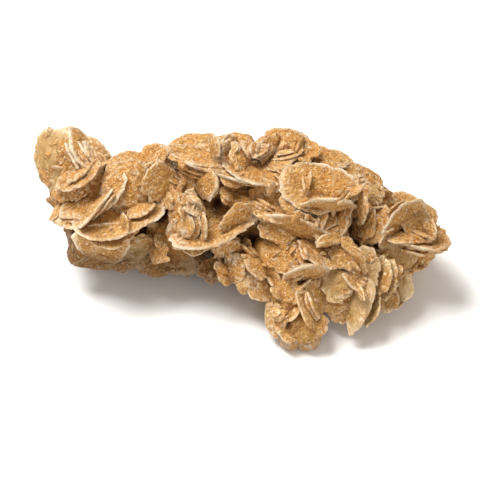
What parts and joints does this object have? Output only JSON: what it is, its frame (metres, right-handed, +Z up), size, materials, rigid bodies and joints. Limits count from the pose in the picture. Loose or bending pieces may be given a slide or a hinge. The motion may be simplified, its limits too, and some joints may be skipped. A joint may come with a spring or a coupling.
{
  "type": "gypsum sand rose",
  "caption": "Natural gypsum sand rose: a long cluster of lens-shaped sandy crystal blades grown through one another, resting on the worn ends of its lowest blades.",
  "frame": {"origin": "middle of the bounding box, at the height of the surface the stone rests on", "axes": "+Z up, +X along the length from the single ear-shaped crystal to the round cluster, -Y towards the front, where the small foot stands"},
  "size_m": [0.1652, 0.089, 0.0616],
  "materials": {
    "sandy_gypsum": "rough sandy gypsum, tan, with pale worn blade edges"
  },
  "bodies": {
    "root": {"sand_rose": "sandy_gypsum"}
  },
  "joints": []
}
